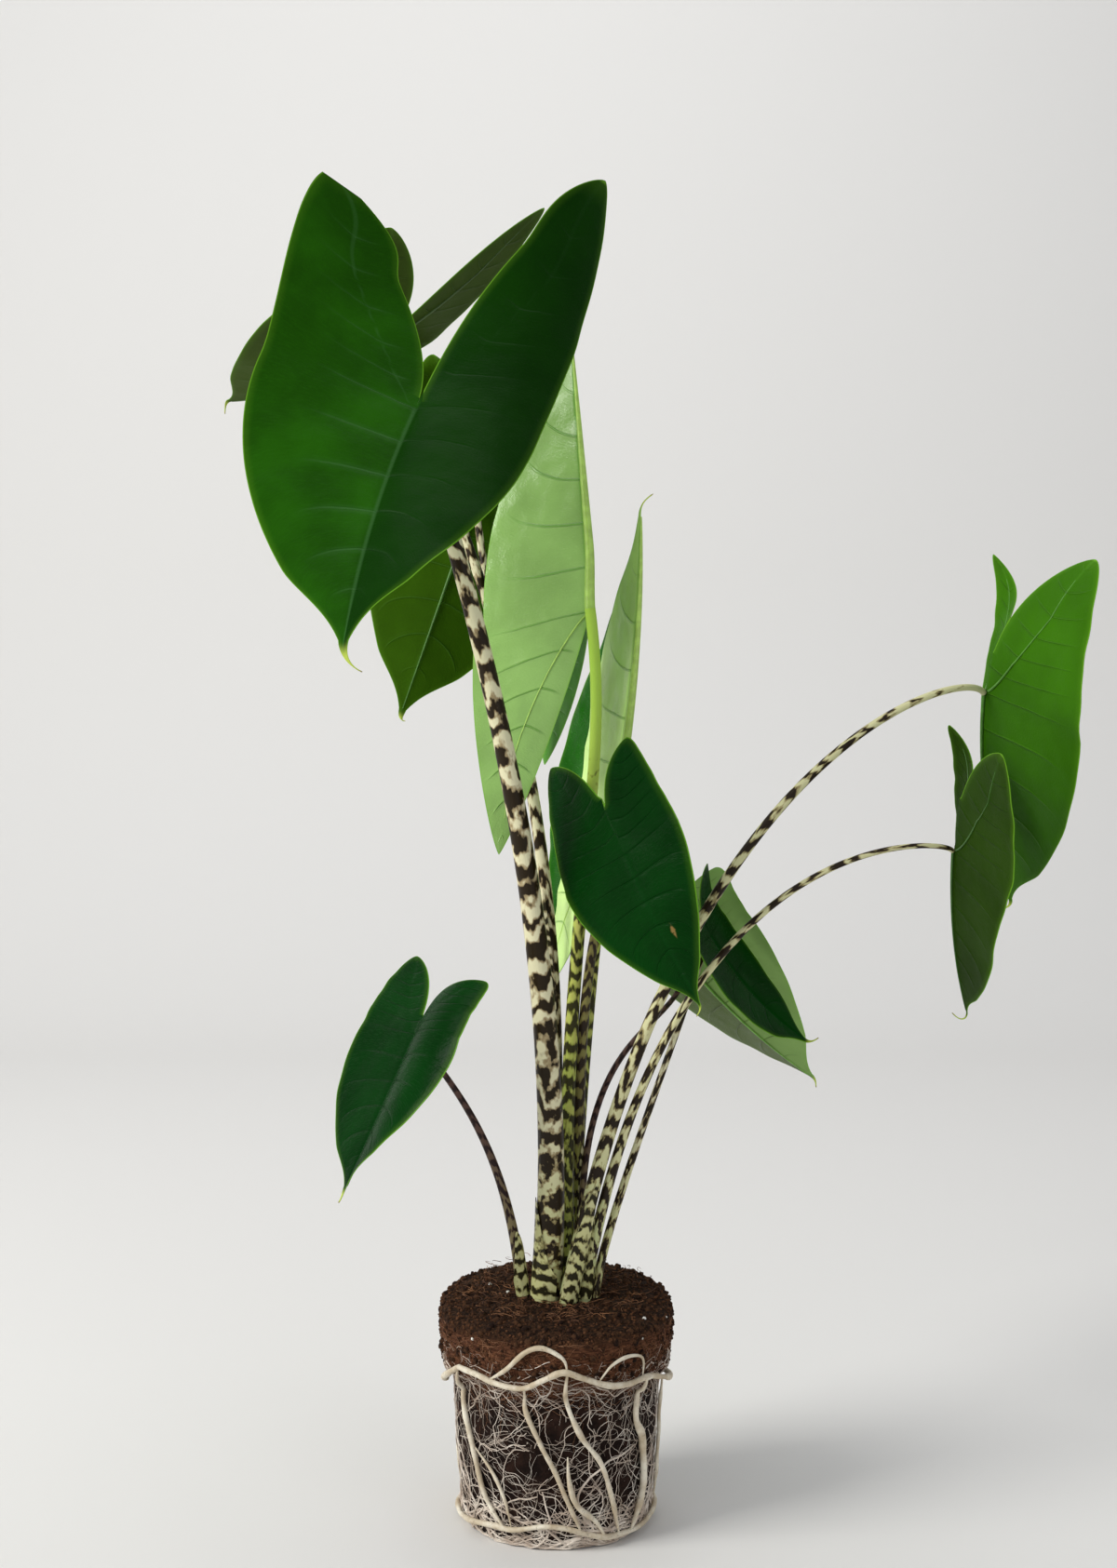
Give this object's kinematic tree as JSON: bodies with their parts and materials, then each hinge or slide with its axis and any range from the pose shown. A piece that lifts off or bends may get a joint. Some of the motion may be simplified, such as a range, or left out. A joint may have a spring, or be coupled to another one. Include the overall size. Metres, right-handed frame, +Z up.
{
  "type": "bare-rooted alocasia zebrina house plant",
  "caption": "Zebra-stalked aroid house plant with arrow-shaped leaves, lifted out of its pot and standing on the flat foot of its bare root ball",
  "frame": {"origin": "centre of the flat underside of the root ball, on the surface the plant stands on", "axes": "+Z up along the plant's height, -Y towards the front that the large leaf faces, +X to the right seen from the front"},
  "size_m": [0.5479, 0.3702, 0.8393],
  "materials": {
    "soil": "damp dark brown peat, rough and crumbly",
    "root": "cream, dull, slightly fibrous",
    "zebra_stalk": "cream with irregular near-black brown chevrons, satin",
    "young_stalk": "yellow-green with thin dark marks, satin",
    "brown_stalk": "purple-brown, faintly marked, satin",
    "green_blade": "mid to dark green leaf with a satin sheen",
    "dark_blade": "dark blue-green leaf, glossy",
    "pale_blade": "young leaf, pale yellow-green underside, satin"
  },
  "bodies": {
    "root": {"root_ball": "soil", "roots": "root", "stalk_front": "zebra_stalk", "stalk_behind": "zebra_stalk", "stalk_hanging": "zebra_stalk", "stalk_pale": "young_stalk", "stalk_rolled": "young_stalk", "stalk_mid": "young_stalk", "stalk_glossy": "zebra_stalk", "stalk_olive": "brown_stalk", "stalk_right_high": "zebra_stalk", "stalk_right_low": "zebra_stalk", "stalk_left_low": "brown_stalk", "blade_front": "green_blade", "blade_behind": "dark_blade", "blade_hanging": "green_blade", "blade_pale": "pale_blade", "blade_rolled": "pale_blade", "blade_mid": "dark_blade", "blade_glossy": "dark_blade", "blade_olive": "green_blade", "blade_right_high": "green_blade", "blade_right_low": "green_blade", "blade_left_low": "dark_blade"}
  },
  "joints": []
}
